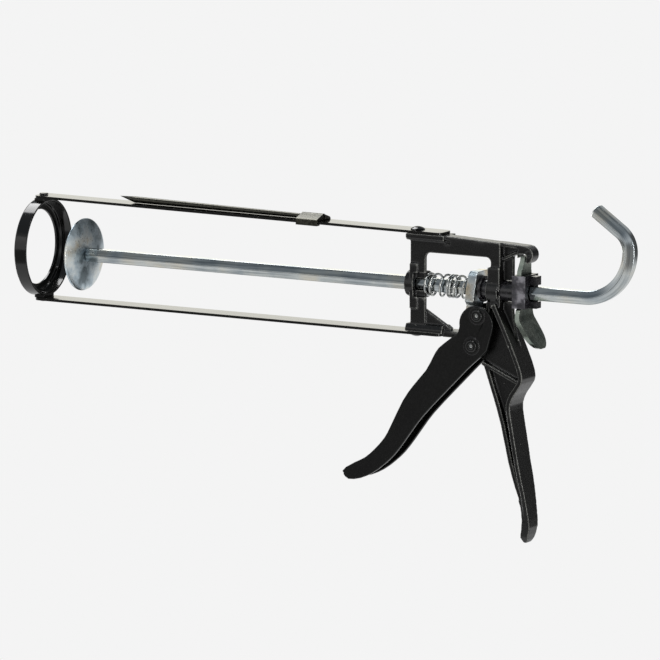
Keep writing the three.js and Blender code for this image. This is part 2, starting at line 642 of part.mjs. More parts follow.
function releaseBlock() {
  const tube = cylinderX(sleeve.outerRadius, thrustFrontX + seatGap, block.frontX + 0.5);
  const body = box(block.frontX, block.rearX, -block.halfWidth, block.halfWidth, block.bottomZ, block.topZ);
  const half = prong.halfWidth;
  const upper = box(block.rearX - 1, prong.rearX, -half, half, prong.innerZ, prong.topZ);
  const lower = box(block.rearX - 1, prong.rearX, -half, half, prong.bottomZ, -prong.innerZ);
  const slot = box(blockSlot.frontX, blockSlot.rearX, -blockSlot.halfWidth, blockSlot.halfWidth,
    block.bottomZ - 1, block.topZ + 1);
  const bore = cylinderX(sleeve.boreRadius, thrustFrontX - 1, prong.rearX + 1);
  return join(tube, body, upper, lower).subtract(slot).subtract(bore);
}

function releaseLever() {
  const backX = lever.frontX + lever.thickness;
  const tabRun = (lever.bendZ - lever.tipZ) * Math.tan(THREE.MathUtils.degToRad(lever.tabLean));
  const rearFace = [[backX + lever.topLean, lever.topZ], [backX, lever.neckZ], [backX, lever.bendZ],
    [backX + tabRun, lever.tipZ]];
  const profile = sidePlate(strip(rearFace, -lever.thickness), -lever.tabHalf - 1, lever.tabHalf + 1);
  const half = [[lever.topHalf, lever.topZ + 1], [lever.topHalf, lever.topZ - lever.topStep],
    [lever.neckHalf, lever.neckZ - lever.neckStep], [lever.slotHalf, lever.neckZ - lever.slotStep],
    [lever.slotHalf, block.bottomZ - runningGap], [lever.hipHalf, lever.hipZ],
    [lever.tabHalf, lever.shoulderZ], [lever.tabHalf, lever.tipZ + lever.tipRound]];
  const tip = arc(0, 0, 1, 0, 90, 6)
    .map(([x, y]) => [lever.tabHalf * x, lever.tipZ + lever.tipRound * (1 - y * lever.tipReach)]);
  const right = [...half, ...tip.slice(1)];
  const left = [...right].reverse().map(([y, z]) => [-y, z]).slice(1);
  const face = lengthwise([...right, ...left], lever.frontX - lever.tabRoom, lever.frontX + lever.tabRoom);
  const hole = lengthwise(hexagon(rod.acrossFlats + lever.holeGap * 2), lever.frontX - 1, backX + 1);
  return profile.intersect(face).subtract(hole);
}

// ---- trigger and its pins ----

function triggerSolid() {
  const head = arc(trigger.headX, trigger.headZ, trigger.headRadius, -16, 190, 20);
  const front = smooth(triggerFrontLine);
  const outline = [...head, ...front, ...smooth(triggerBackLine)];
  const outer = trigger.outerHalf;
  const cheeks = join(sidePlate(outline, -outer, -cheekInner), sidePlate(outline, cheekInner, outer));
  const fingerFace = front.filter(([x]) => x < trigger.webTopX);
  const channelWeb = sidePlate(strip([...fingerFace, triggerTip], trigger.sheet), -outer, outer);
  const toeZone = box(triggerTip[0] - 1, trigger.toeX, -outer, outer, triggerTip[1] - trigger.headRadius, 0);
  const toe = sidePlate(outline, -outer, outer).intersect(toeZone);
  const face = outer + trigger.padHeight;
  const pads = [[pivot.x, pivot.z], [drivePinX, drivePin.z]].map(([x, z]) => join(
    cylinderY(trigger.padRadius, cheekInner + 1, face, x, z, 32),
    cylinderY(trigger.padRadius, -face, -cheekInner - 1, x, z, 32),
  ));
  const holes = join(
    cylinderY(pivot.pinRadius + rivetGap, -face - 1, face + 1, pivot.x, pivot.z, 24),
    cylinderY(drivePin.pinRadius + rivetGap, -face - 1, face + 1, drivePinX, drivePin.z, 24),
  );
  return join(cheeks, channelWeb, toe, ...pads).subtract(holes);
}

function pinSolid(radius, x, z) {
  const face = trigger.outerHalf + trigger.padHeight + seatGap;
  const end = face + pinHead.height;
  const body = join(
    cylinderY(radius, -face - 0.2, face + 0.2, x, z, 20),
    cylinderY(pinHead.radius, face, end, x, z),
    cylinderY(pinHead.radius, -end, -face, x, z),
  );
  const dimples = join(
    cylinderY(pinHead.dimpleRadius, end - pinHead.dimpleDepth, end + 1, x, z, 12),
    cylinderY(pinHead.dimpleRadius, -end - 1, pinHead.dimpleDepth - end, x, z, 12),
  );
  return body.subtract(dimples);
}

function driveBush() {
  const half = drivePin.bushHalf;
  return cylinderY(drivePin.bushRadius, -half, half, drivePinX, drivePin.z, 24)
    .subtract(cylinderY(drivePin.pinRadius + rivetGap, -half - 1, half + 1, drivePinX, drivePin.z, 24));
}

// ---- needle and its clip, drawn over the rail's flat blank ----

function needleRadius(x) {
  const share = THREE.MathUtils.clamp((x - needle.shoulderX) / (needle.rearX - needle.shoulderX), 0, 1);
  return THREE.MathUtils.lerp(needle.frontRadius, needle.rearRadius, share);
}

function needleAxis(x) {
  return rail.thickness + needle.lift + needleRadius(x);
}

// a tapered needle that lies along the rail, ground from below to a point that stands high
function punctureNeedle() {
  const { frontRadius, rearRadius, tipX, shoulderX, rearX } = needle;
  const outline = [[0, tipX], [frontRadius, shoulderX], [rearRadius, rearX], [0, rearX]];
  const geometry = new THREE.LatheGeometry(outline.map(([r, x]) => new THREE.Vector2(r, x)), 20);
  geometry.rotateZ(-Math.PI / 2);
  const position = geometry.getAttribute('position');
  for (let i = 0; i < position.count; i += 1) {
    const x = position.getX(i);
    const rise = x < shoulderX - 1 ? needle.tipRise : 0;
    position.setZ(i, position.getZ(i) + needleAxis(x) + rise);
  }
  return onRail(toSolid(geometry));
}

// a folded sheet clip: hooks under both edges of the rail, and a roof over the needle's rear end
function needleClip() {
  const half = rail.width / 2 + clip.gap;
  const outer = half + clip.sheet;
  const under = -clip.gap - clip.sheet;
  const middle = (clip.frontX + clip.rearX) / 2;
  const ridge = needleAxis(middle);
  const crown = needleRadius(clip.frontX) + clip.gap + clip.sheet;
  const shoulderZ = clip.sideZ + clip.sheet;
  const roof = lengthwise([
    [-outer, under], [outer, under], [outer, clip.sideZ], [outer - clip.sheet, shoulderZ],
    ...arc(0, ridge, crown, 50, 130, 6), [clip.sheet - outer, shoulderZ], [-outer, clip.sideZ],
  ], clip.frontX, clip.rearX);
  const railRoom = box(clip.frontX - 1, clip.rearX + 1, -half, half, -clip.gap, rail.thickness + clip.gap);
  const mouth = box(clip.frontX - 1, clip.rearX + 1, -clip.hookInner, clip.hookInner, under - 1, 0);
  const bore = cylinderX(needleRadius(clip.frontX) + clip.gap, clip.frontX - 1, clip.rearX + 1, ridge, 20);
  return onRail(roof.subtract(railRoom).subtract(mouth).subtract(bore));
}

// ---- the whole gun ----

const gun = new THREE.Group();
gun.position.set(-gripPoint.x, 0, -gripPoint.z);

const rails = railSolid();
const railRivets = railRivetSolid();
const ringRivets = ringRivetSolid();

gun.add(
  toMesh('front_ring', inCradle(frontRing()), enamel),
  toMesh('top_rail', inCradle(rails), enamel),
  toMesh('bottom_rail', inCradle(mirrored(rails)), enamel),
  toMesh('ring_rivet_top', inCradle(ringRivets), enamel),
  toMesh('ring_rivet_bottom', inCradle(mirrored(ringRivets)), enamel),
  toMesh('rail_rivet_top', inCradle(railRivets), enamel),
  toMesh('rail_rivet_bottom', inCradle(mirrored(railRivets)), enamel),
  toMesh('body_casting', bodyCasting(), powderCoat),
  toMesh('push_rod', pushRod(), zinc),
  toMesh('piston_disc', pistonDisc(), zinc),
  toMesh('piston_washer', pistonWasherSolid(), zinc),
  toMesh('main_spring', mainSpring(), springSteel),
  toMesh('drive_plate', drivePlateSolid(), zinc),
  toMesh('thrust_flange', thrustFlangeSolid(), moulding),
  toMesh('release_block', releaseBlock(), moulding),
  toMesh('release_lever', releaseLever(), dullZinc),
  toMesh('trigger', triggerSolid(), enamel),
  toMesh('trigger_pivot_pin', pinSolid(pivot.pinRadius, pivot.x, pivot.z), gunmetal),
  toMesh('trigger_drive_pin', pinSolid(drivePin.pinRadius, drivePinX, drivePin.z), gunmetal),
  toMesh('drive_bush', driveBush(), gunmetal),
  toMesh('puncture_needle', inCradle(punctureNeedle()), gunmetal),
  toMesh('needle_clip', inCradle(needleClip()), gunmetal),
);

export default gun;
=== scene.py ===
import json
import math

import bpy
from mathutils import Matrix, Vector

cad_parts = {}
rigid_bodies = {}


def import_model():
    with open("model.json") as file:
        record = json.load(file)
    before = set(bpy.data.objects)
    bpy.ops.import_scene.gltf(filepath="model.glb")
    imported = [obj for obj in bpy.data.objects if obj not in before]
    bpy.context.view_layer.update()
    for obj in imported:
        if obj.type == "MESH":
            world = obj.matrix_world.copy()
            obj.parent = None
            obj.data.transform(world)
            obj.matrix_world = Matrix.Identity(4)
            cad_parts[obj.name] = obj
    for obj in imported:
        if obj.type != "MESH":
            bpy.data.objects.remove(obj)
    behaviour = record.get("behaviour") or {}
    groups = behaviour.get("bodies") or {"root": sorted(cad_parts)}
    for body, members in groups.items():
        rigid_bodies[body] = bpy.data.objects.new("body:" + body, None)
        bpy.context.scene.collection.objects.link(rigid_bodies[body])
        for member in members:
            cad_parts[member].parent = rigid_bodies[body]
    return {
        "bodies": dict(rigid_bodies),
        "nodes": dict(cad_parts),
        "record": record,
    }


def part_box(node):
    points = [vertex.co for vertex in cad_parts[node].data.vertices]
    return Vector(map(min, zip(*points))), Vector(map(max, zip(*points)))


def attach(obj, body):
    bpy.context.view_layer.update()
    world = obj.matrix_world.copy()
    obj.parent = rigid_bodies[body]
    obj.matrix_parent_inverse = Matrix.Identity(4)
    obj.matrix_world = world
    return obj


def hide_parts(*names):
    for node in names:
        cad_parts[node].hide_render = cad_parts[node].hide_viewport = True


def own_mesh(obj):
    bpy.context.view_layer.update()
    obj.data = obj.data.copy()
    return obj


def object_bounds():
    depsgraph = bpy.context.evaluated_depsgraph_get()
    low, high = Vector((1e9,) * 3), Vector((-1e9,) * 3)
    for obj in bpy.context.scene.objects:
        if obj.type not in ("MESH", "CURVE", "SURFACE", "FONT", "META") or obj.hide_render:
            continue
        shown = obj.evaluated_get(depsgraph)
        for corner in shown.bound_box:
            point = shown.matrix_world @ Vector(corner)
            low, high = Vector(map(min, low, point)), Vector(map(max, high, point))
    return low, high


# A caulking gun for one cartridge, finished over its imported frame.
# Metres, +Z up. The nozzle end points to -X, the hook to +X and the body's side plate to -Y.

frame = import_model()
nodes = frame["nodes"]
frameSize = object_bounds()
for spare in list(bpy.data.objects):
    if spare not in nodes.values() and spare not in frame["bodies"].values():
        bpy.data.objects.remove(spare)

members = frame["record"]["behaviour"]["bodies"]
bodyOfNode = {node: body for body in members for node in members[body]}


def middleOf(*names):                 # the point between the middles of these nodes' boxes
    corners = [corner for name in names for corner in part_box(name)]
    return sum(corners, Vector()) / len(corners)


axisZ = middleOf("piston_disc").z     # the push rod's axis, which lies at y = 0
topRivet, bottomRivet = middleOf("ring_rivet_top"), middleOf("ring_rivet_bottom")
cradleTilt = math.atan2(topRivet.x - bottomRivet.x, topRivet.z - bottomRivet.z)     # how far the cradle leans
print("frame loaded:", len(nodes), "nodes")


def pick(piece):
    if bpy.context.mode != "OBJECT":
        bpy.ops.object.mode_set(mode="OBJECT")
    bpy.ops.object.select_all(action="DESELECT")
    piece.select_set(True)
    bpy.context.view_layer.objects.active = piece


def editMode(piece, kind="FACE"):
    pick(piece)
    bpy.ops.object.mode_set(mode="EDIT")
    bpy.ops.mesh.select_mode(type=kind)
    bpy.ops.mesh.select_all(action="DESELECT")


def selectFaces(piece, wanted):       # wanted(centre, normal) says which
    editMode(piece, "FACE")
    bpy.ops.object.mode_set(mode="OBJECT")
    for face in piece.data.polygons:
        face.select = wanted(face.center, face.normal)
    bpy.ops.object.mode_set(mode="EDIT")


def selectEdges(piece, wanted):       # wanted(end, otherEnd) says which
    editMode(piece, "EDGE")
    bpy.ops.object.mode_set(mode="OBJECT")
    points = piece.data.vertices
    for edge in piece.data.edges:
        edge.select = wanted(points[edge.vertices[0]].co, points[edge.vertices[1]].co)
    bpy.ops.object.mode_set(mode="EDIT")


def applied(piece, kind, **settings):
    pick(piece)
    modifier = piece.modifiers.new(kind.title(), kind)
    for name, value in settings.items():
        setattr(modifier, name, value)
    bpy.ops.object.modifier_apply(modifier=modifier.name)


def rounded(piece, width, segments=2, angle=28, **settings):
    applied(piece, "BEVEL", width=width, segments=segments, limit_method="ANGLE",
            angle_limit=math.radians(angle), **settings)


def settled(piece, place=None):       # puts a piece in its place and leaves that place in its mesh
    if place:
        piece.matrix_world = place @ piece.matrix_world
    pick(piece)
    bpy.ops.object.transform_apply(location=True, rotation=True, scale=True)
    return piece


def joined(piece, *others):
    pick(piece)
    for other in others:
        other.select_set(True)
    bpy.ops.object.join()


def copyOf(node, name):               # a frame node's mesh is loose triangles, so its copy is merged first
    piece = bpy.data.objects.new(name, nodes[node].data.copy())
    bpy.context.scene.collection.objects.link(piece)
    piece.data.materials.clear()
    editMode(piece)
    bpy.ops.mesh.select_all(action="SELECT")
    bpy.ops.mesh.remove_doubles(threshold=0.000005)
    bpy.ops.mesh.dissolve_limited(angle_limit=math.radians(1))
    bpy.ops.object.mode_set(mode="OBJECT")
    return piece


alongX = Matrix.Rotation(math.radians(90), 4, "Y")       # turns a piece's own Z axis to X
alongY = Matrix.Rotation(math.radians(-90), 4, "X")
upsideDown = Matrix.Rotation(math.radians(180), 4, "X")


def inCradle(centre, turn=None):      # a place on the rails' middle line, square to it
    place = Matrix.Translation(centre) @ Matrix.Rotation(cradleTilt, 4, "Y")
    return place @ turn if turn else place


# a turned piece: a circle drawn out rim by rim along a profile of (radius, distance along its axis) pairs
def turned(name, profile, place, facets=64, hollow=False):
    radius, along = profile[0]
    bpy.ops.object.select_all(action="DESELECT")
    bpy.ops.mesh.primitive_circle_add(vertices=facets, radius=radius, location=(0, 0, along))
    piece = settled(bpy.context.object)
    piece.name = name
    editMode(piece, "EDGE")
    bpy.ops.mesh.select_all(action="SELECT")
    for nextRadius, nextAlong in profile[1:]:
        bpy.ops.mesh.extrude_edges_move(TRANSFORM_OT_translate={"value": (0, 0, nextAlong - along)})
        share = nextRadius / radius
        bpy.ops.transform.resize(value=(share, share, share), center_override=(0, 0, nextAlong))
        radius, along = nextRadius, nextAlong
    bpy.ops.mesh.select_all(action="DESELECT")
    bpy.ops.mesh.select_non_manifold()
    if hollow:
        bpy.ops.mesh.bridge_edge_loops()
    else:
        bpy.ops.mesh.fill_holes(sides=0)
    bpy.ops.mesh.select_all(action="SELECT")
    bpy.ops.mesh.normals_make_consistent(inside=False)
    bpy.ops.object.mode_set(mode="OBJECT")
    return settled(piece, place)


def cornerArc(radius, along, size, startDegrees, endDegrees, steps=4):     # profile points round a corner
    points = []
    for step in range(steps + 1):
        turn = math.radians(startDegrees + (endDegrees - startDegrees) * step / steps)
        points.append((radius + size * math.cos(turn), along + size * math.sin(turn)))
    return points


def finished(piece, node, material, smoothAngle=40, flatFaces=True):
    pick(piece)
    bpy.ops.object.shade_smooth_by_angle(angle=math.radians(smoothAngle))
    if flatFaces:                     # flat faces keep their own light beside rounded edges
        applied(piece, "WEIGHTED_NORMAL", keep_sharp=True)
    piece.data.materials.clear()
    piece.data.materials.append(material)
    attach(piece, bodyOfNode[node])
    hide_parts(node)
    return piece


def faced(piece, material, wanted):   # gives the wanted faces of a finished piece a second material
    piece.data.materials.append(material)
    selectFaces(piece, wanted)
    piece.active_material_index = 1
    bpy.ops.object.material_slot_assign()
    bpy.ops.object.mode_set(mode="OBJECT")
    return piece


def toLinear(hexColour):
    channels = [int(hexColour[i:i + 2], 16) / 255 for i in (1, 3, 5)]
    return tuple(c / 12.92 if c <= 0.04045 else ((c + 0.055) / 1.055) ** 2.4 for c in channels) + (1,)


def perMetre(millimetres):            # a pattern's scale from its real size
    return 1000 / millimetres


# adds one node, with its settings, its inputs' values or links, and a colour ramp's (position, colour) stops
def addNode(tree, kind, inputs=None, stops=(), **settings):
    node = tree.nodes.new(kind)
    for name, value in settings.items():
        setattr(node, name, value)
    for socket, value in (inputs or {}).items():
        if isinstance(value, bpy.types.NodeSocket):
            tree.links.new(value, node.inputs[socket])
        else:
            node.inputs[socket].default_value = value
    for number, (position, colour) in enumerate(stops):
        elements = node.color_ramp.elements
        element = elements[number] if number < 2 else elements.new(position)
        element.position = position
        element.color = toLinear(colour)
    return node


def newMaterial(name):                # an empty material's tree, with its place on the piece
    material = bpy.data.materials.new(name)
    material.use_nodes = True
    tree = material.node_tree
    tree.nodes.clear()
    return material, tree, addNode(tree, "ShaderNodeTexCoord").outputs["Object"]


def makeGlossEnamel():                # stoved black enamel on steel: deep black under clear, even reflections
    enamel, tree, place = newMaterial("gloss_black_stoving_enamel")
    # the enamel's slow flow, and the dust in it
    flow = addNode(tree, "ShaderNodeTexNoise", {"Vector": place, "Scale": perMetre(9), "Detail": 2})
    dust = addNode(tree, "ShaderNodeTexNoise", {"Vector": place, "Scale": perMetre(1.4), "Detail": 3})
    black = addNode(tree, "ShaderNodeValToRGB", {"Fac": flow.outputs["Fac"]},
                    [(0.3, "#040404"), (0.7, "#080806")])
    gloss = addNode(tree, "ShaderNodeMapRange", {
        "Value": dust.outputs["Fac"], "From Min": 0.3, "From Max": 0.7, "To Min": 0.08, "To Max": 0.15})
    peel = addNode(tree, "ShaderNodeBump", {"Height": flow.outputs["Fac"], "Distance": 0.00003})
    nibs = addNode(tree, "ShaderNodeBump", {
        "Height": dust.outputs["Fac"], "Distance": 0.000002, "Normal": peel.outputs["Normal"]})
    shader = addNode(tree, "ShaderNodeBsdfPrincipled", {
        "Base Color": black.outputs["Color"], "Roughness": gloss.outputs["Result"], "IOR": 1.5,
        "Normal": nibs.outputs["Normal"]})
    addNode(tree, "ShaderNodeOutputMaterial", {"Surface": shader.outputs["BSDF"]})
    return enamel


def makePowderCoat():                 # semi-gloss black powder on a casting: fine grain, and a painted highlight along its sharp edges
    coat, tree, place = newMaterial("semi_gloss_black_powder_coat")
    grain = addNode(tree, "ShaderNodeTexNoise", {     # the grain is 0.2 mm, drawn coarser so that it shows
        "Vector": place, "Scale": perMetre(0.8), "Detail": 3, "Roughness": 0.65})
    pool = addNode(tree, "ShaderNodeTexNoise", {"Vector": place, "Scale": perMetre(14), "Detail": 2})
    specks = addNode(tree, "ShaderNodeTexNoise", {"Vector": place, "Scale": perMetre(1.7), "Detail": 1})
    black = addNode(tree, "ShaderNodeValToRGB", {"Fac": pool.outputs["Fac"]},
                    [(0.35, "#050505"), (0.65, "#090908")])
    edge = addNode(tree, "ShaderNodeMapRange", {      # where the surface turns sharply outwards
        "Value": addNode(tree, "ShaderNodeNewGeometry").outputs["Pointiness"],
        "From Min": 0.525, "From Max": 0.57, "To Min": 0.0, "To Max": 1.5})
    edgeHighlightShare = addNode(tree, "ShaderNodeMath", {
        0: edge.outputs["Result"], 1: grain.outputs["Fac"]}, operation="MULTIPLY")
    # painted highlight: sharp outward edges are coloured pale, standing in for the light that their rounding
    # catches
    paintedEdgeHighlight = addNode(tree, "ShaderNodeMix", {
        0: edgeHighlightShare.outputs["Value"], 6: black.outputs["Color"], 7: toLinear("#b4b4ac")}, data_type="RGBA")
    dust = addNode(tree, "ShaderNodeMapRange", {
        "Value": specks.outputs["Fac"], "From Min": 0.77, "From Max": 0.83, "To Min": 0.0, "To Max": 0.4})
    dusted = addNode(tree, "ShaderNodeMix", {
        0: dust.outputs["Result"], 6: paintedEdgeHighlight.outputs[2], 7: toLinear("#9a9a94")}, data_type="RGBA")
    gloss = addNode(tree, "ShaderNodeMapRange", {
        "Value": grain.outputs["Fac"], "From Min": 0.3, "From Max": 0.7, "To Min": 0.2, "To Max": 0.38})
    peel = addNode(tree, "ShaderNodeBump", {"Height": pool.outputs["Fac"], "Distance": 0.00006})
    texture = addNode(tree, "ShaderNodeBump", {
        "Height": grain.outputs["Fac"], "Distance": 0.00003, "Normal": peel.outputs["Normal"]})
    shader = addNode(tree, "ShaderNodeBsdfPrincipled", {
        "Base Color": dusted.outputs[2], "Roughness": gloss.outputs["Result"], "IOR": 1.48,
        "Normal": texture.outputs["Normal"]})
    addNode(tree, "ShaderNodeOutputMaterial", {"Surface": shader.outputs["BSDF"]})
    return coat


def makeTriggerCoat():                # the same black on smooth pressed steel: longer, cleaner reflections
    coat, tree, place = newMaterial("satin_black_coat_on_steel")
    grain = addNode(tree, "ShaderNodeTexNoise", {"Vector": place, "Scale": perMetre(1.1), "Detail": 2})
    pool = addNode(tree, "ShaderNodeTexNoise", {"Vector": place, "Scale": perMetre(18), "Detail": 2})
    black = addNode(tree, "ShaderNodeValToRGB", {"Fac": pool.outputs["Fac"]},
                    [(0.35, "#050505"), (0.65, "#080807")])
    gloss = addNode(tree, "ShaderNodeMapRange", {
        "Value": grain.outputs["Fac"], "From Min": 0.3, "From Max": 0.7, "To Min": 0.16, "To Max": 0.26})
    peel = addNode(tree, "ShaderNodeBump", {"Height": pool.outputs["Fac"], "Distance": 0.00025})
    texture = addNode(tree, "ShaderNodeBump", {
        "Height": grain.outputs["Fac"], "Distance": 0.000008, "Normal": peel.outputs["Normal"]})
    shader = addNode(tree, "ShaderNodeBsdfPrincipled", {
        "Base Color": black.outputs["Color"], "Roughness": gloss.outputs["Result"], "IOR": 1.48,
        "Normal": texture.outputs["Normal"]})
    addNode(tree, "ShaderNodeOutputMaterial", {"Surface": shader.outputs["BSDF"]})
    return coat


def makeDrawnZinc():                  # bright zinc plate on drawn bar: cold white metal, long draw streaks that are also deepened into painted reflection bands
    zinc, tree, place = newMaterial("bright_zinc_on_drawn_bar")
    bar = addNode(tree, "ShaderNodeAttribute", attribute_name="placeOnBar")
    drawn = addNode(tree, "ShaderNodeMapping", {      # the shift picks which streaks lie on which face
        "Vector": bar.outputs["Vector"], "Location": (0, 0.037, 0), "Scale": (0.03, 1, 1)})
    streak = addNode(tree, "ShaderNodeTexNoise", {
        "Vector": drawn.outputs["Vector"], "Scale": perMetre(1.3), "Detail": 4, "Roughness": 0.65})
    cloud = addNode(tree, "ShaderNodeTexNoise", {"Vector": place, "Scale": perMetre(16), "Detail": 3})
    tint = addNode(tree, "ShaderNodeValToRGB", {"Fac": cloud.outputs["Fac"]},
                   [(0.3, "#a3abb0"), (0.7, "#cac6ba"), (0.5, "#c0c4c3")])
    # the streaks darken the colour: real draw marks, deepened into painted reflection bands along the facets
    shade = addNode(tree, "ShaderNodeMapRange", {
        "Value": streak.outputs["Fac"], "From Min": 0.36, "From Max": 0.56, "To Min": 0.42, "To Max": 1.0})
    colour = addNode(tree, "ShaderNodeMix", {
        0: shade.outputs["Result"], 6: toLinear("#5d666c"), 7: tint.outputs["Color"]}, data_type="RGBA")
    gloss = addNode(tree, "ShaderNodeMapRange", {
        "Value": streak.outputs["Fac"], "From Min": 0.3, "From Max": 0.7, "To Min": 0.08, "To Max": 0.18})
    lines = addNode(tree, "ShaderNodeBump", {"Height": streak.outputs["Fac"], "Distance": 0.000008})
    shader = addNode(tree, "ShaderNodeBsdfPrincipled", {
        "Base Color": colour.outputs[2], "Metallic": 1.0, "Roughness": gloss.outputs["Result"],
        "Normal": lines.outputs["Normal"]})
    addNode(tree, "ShaderNodeOutputMaterial", {"Surface": shader.outputs["BSDF"]})
    return zinc


def makeSheetZinc():                  # bright zinc plate on pressed sheet: bluish and straw clouds, scuffs
    zinc, tree, place = newMaterial("bright_zinc_on_pressed_sheet")
    cloud = addNode(tree, "ShaderNodeTexNoise", {
        "Vector": place, "Scale": perMetre(17), "Detail": 4, "Roughness": 0.55})
    scuff = addNode(tree, "ShaderNodeTexNoise", {
        "Vector": place, "Scale": perMetre(1.2), "Detail": 4, "Roughness": 0.7})
    tint = addNode(tree, "ShaderNodeValToRGB", {"Fac": cloud.outputs["Fac"]},
                   [(0.34, "#6b767b"), (0.68, "#d0c2a6"), (0.44, "#b0bec6"), (0.54, "#d6dcdc")])
    gloss = addNode(tree, "ShaderNodeMapRange", {
        "Value": scuff.outputs["Fac"], "From Min": 0.3, "From Max": 0.7, "To Min": 0.24, "To Max": 0.4})
    scratches = addNode(tree, "ShaderNodeBump", {"Height": scuff.outputs["Fac"], "Distance": 0.000015})
    shader = addNode(tree, "ShaderNodeBsdfPrincipled", {
        "Base Color": tint.outputs["Color"], "Metallic": 1.0, "Roughness": gloss.outputs["Result"],
        "Normal": scratches.outputs["Normal"]})
    addNode(tree, "ShaderNodeOutputMaterial", {"Surface": shader.outputs["BSDF"]})
    return zinc


def makeDullZinc():                   # passivated zinc on a stamped lever: grey-green, softly brushed
    zinc, tree, place = newMaterial("passivated_zinc_on_stamping")
    brushed = addNode(tree, "ShaderNodeMapping", {"Vector": place, "Scale": (1, 1, 0.2)})
    cloud = addNode(tree, "ShaderNodeTexNoise", {"Vector": place, "Scale": perMetre(8), "Detail": 3})
    scuff = addNode(tree, "ShaderNodeTexNoise", {
        "Vector": brushed.outputs["Vector"], "Scale": perMetre(1), "Detail": 3})
    tint = addNode(tree, "ShaderNodeValToRGB", {"Fac": cloud.outputs["Fac"]},
                   [(0.3, "#6b756e"), (0.7, "#989f95")])
    gloss = addNode(tree, "ShaderNodeMapRange", {
        "Value": scuff.outputs["Fac"], "From Min": 0.3, "From Max": 0.7, "To Min": 0.17, "To Max": 0.32})
    lines = addNode(tree, "ShaderNodeBump", {"Height": scuff.outputs["Fac"], "Distance": 0.000012})
    shader = addNode(tree, "ShaderNodeBsdfPrincipled", {
        "Base Color": tint.outputs["Color"], "Metallic": 1.0, "Roughness": gloss.outputs["Result"],
        "Normal": lines.outputs["Normal"]})
    addNode(tree, "ShaderNodeOutputMaterial", {"Surface": shader.outputs["BSDF"]})
    return zinc


def makeSpringSteel():                # plated round wire: a bright line along it between dark flanks
    steel, tree, place = newMaterial("plated_spring_wire")
    dirt = addNode(tree, "ShaderNodeTexNoise", {"Vector": place, "Scale": perMetre(2.5), "Detail": 3})
    tint = addNode(tree, "ShaderNodeValToRGB", {"Fac": dirt.outputs["Fac"]},
                   [(0.3, "#8b8f91"), (0.7, "#c8c9c4")])
    gloss = addNode(tree, "ShaderNodeMapRange", {
        "Value": dirt.outputs["Fac"], "From Min": 0.3, "From Max": 0.7, "To Min": 0.12, "To Max": 0.26})
    shader = addNode(tree, "ShaderNodeBsdfPrincipled", {
        "Base Color": tint.outputs["Color"], "Metallic": 1.0, "Roughness": gloss.outputs["Result"]})
    addNode(tree, "ShaderNodeOutputMaterial", {"Surface": shader.outputs["BSDF"]})
    return steel


def makeMoulding():                   # glass-filled black nylon: near black, glossy, faintly mottled
    nylon, tree, place = newMaterial("glass_filled_black_nylon")
    mottle = addNode(tree, "ShaderNodeTexNoise", {
        "Vector": place, "Scale": perMetre(2.2), "Detail": 4, "Roughness": 0.65})
    grain = addNode(tree, "ShaderNodeTexNoise", {"Vector": place, "Scale": perMetre(0.8), "Detail": 2})
    tint = addNode(tree, "ShaderNodeValToRGB", {"Fac": mottle.outputs["Fac"]},
                   [(0.35, "#0b0b0c"), (0.68, "#2c2a2e"), (0.5, "#171619")])
    gloss = addNode(tree, "ShaderNodeMapRange", {
        "Value": mottle.outputs["Fac"], "From Min": 0.3, "From Max": 0.7, "To Min": 0.15, "To Max": 0.32})
    texture = addNode(tree, "ShaderNodeBump", {"Height": grain.outputs["Fac"], "Distance": 0.00004})
    shader = addNode(tree, "ShaderNodeBsdfPrincipled", {
        "Base Color": tint.outputs["Color"], "Roughness": gloss.outputs["Result"], "IOR": 1.53,
        "Normal": texture.outputs["Normal"]})
    addNode(tree, "ShaderNodeOutputMaterial", {"Surface": shader.outputs["BSDF"]})
    return nylon


def makeGunmetal():                   # phosphated and oiled steel: dark brown-grey with a soft metal sheen
    steel, tree, place = newMaterial("phosphated_steel")
    crystal = addNode(tree, "ShaderNodeTexNoise", {
        "Vector": place, "Scale": perMetre(1), "Detail": 4, "Roughness": 0.6})
    tint = addNode(tree, "ShaderNodeValToRGB", {"Fac": crystal.outputs["Fac"]},
                   [(0.3, "#33332f"), (0.7, "#54534b")])
    gloss = addNode(tree, "ShaderNodeMapRange", {
        "Value": crystal.outputs["Fac"], "From Min": 0.3, "From Max": 0.7, "To Min": 0.22, "To Max": 0.38})
    texture = addNode(tree, "ShaderNodeBump", {"Height": crystal.outputs["Fac"], "Distance": 0.00001})
    shader = addNode(tree, "ShaderNodeBsdfPrincipled", {
        "Base Color": tint.outputs["Color"], "Metallic": 1.0, "Roughness": gloss.outputs["Result"],
        "Normal": texture.outputs["Normal"]})
    addNode(tree, "ShaderNodeOutputMaterial", {"Surface": shader.outputs["BSDF"]})
    return steel


def makeRubbedMoulding():             # the same nylon where it is handled: paler, cloudy, with a waxy sheen
    nylon, tree, place = newMaterial("rubbed_black_nylon")
    cloud = addNode(tree, "ShaderNodeTexNoise", {
        "Vector": place, "Scale": perMetre(7), "Detail": 5, "Roughness": 0.6})
    grain = addNode(tree, "ShaderNodeTexNoise", {
        "Vector": place, "Scale": perMetre(0.9), "Detail": 3, "Roughness": 0.6})
    tint = addNode(tree, "ShaderNodeValToRGB", {"Fac": cloud.outputs["Fac"]},
                   [(0.38, "#1d1c1f"), (0.62, "#858388"), (0.5, "#403e43")])
    gloss = addNode(tree, "ShaderNodeMapRange", {
        "Value": grain.outputs["Fac"], "From Min": 0.3, "From Max": 0.7, "To Min": 0.3, "To Max": 0.5})
    texture = addNode(tree, "ShaderNodeBump", {"Height": grain.outputs["Fac"], "Distance": 0.00004})
    shader = addNode(tree, "ShaderNodeBsdfPrincipled", {
        "Base Color": tint.outputs["Color"], "Roughness": gloss.outputs["Result"], "IOR": 1.53,
        "Normal": texture.outputs["Normal"]})
    addNode(tree, "ShaderNodeOutputMaterial", {"Surface": shader.outputs["BSDF"]})
    return nylon


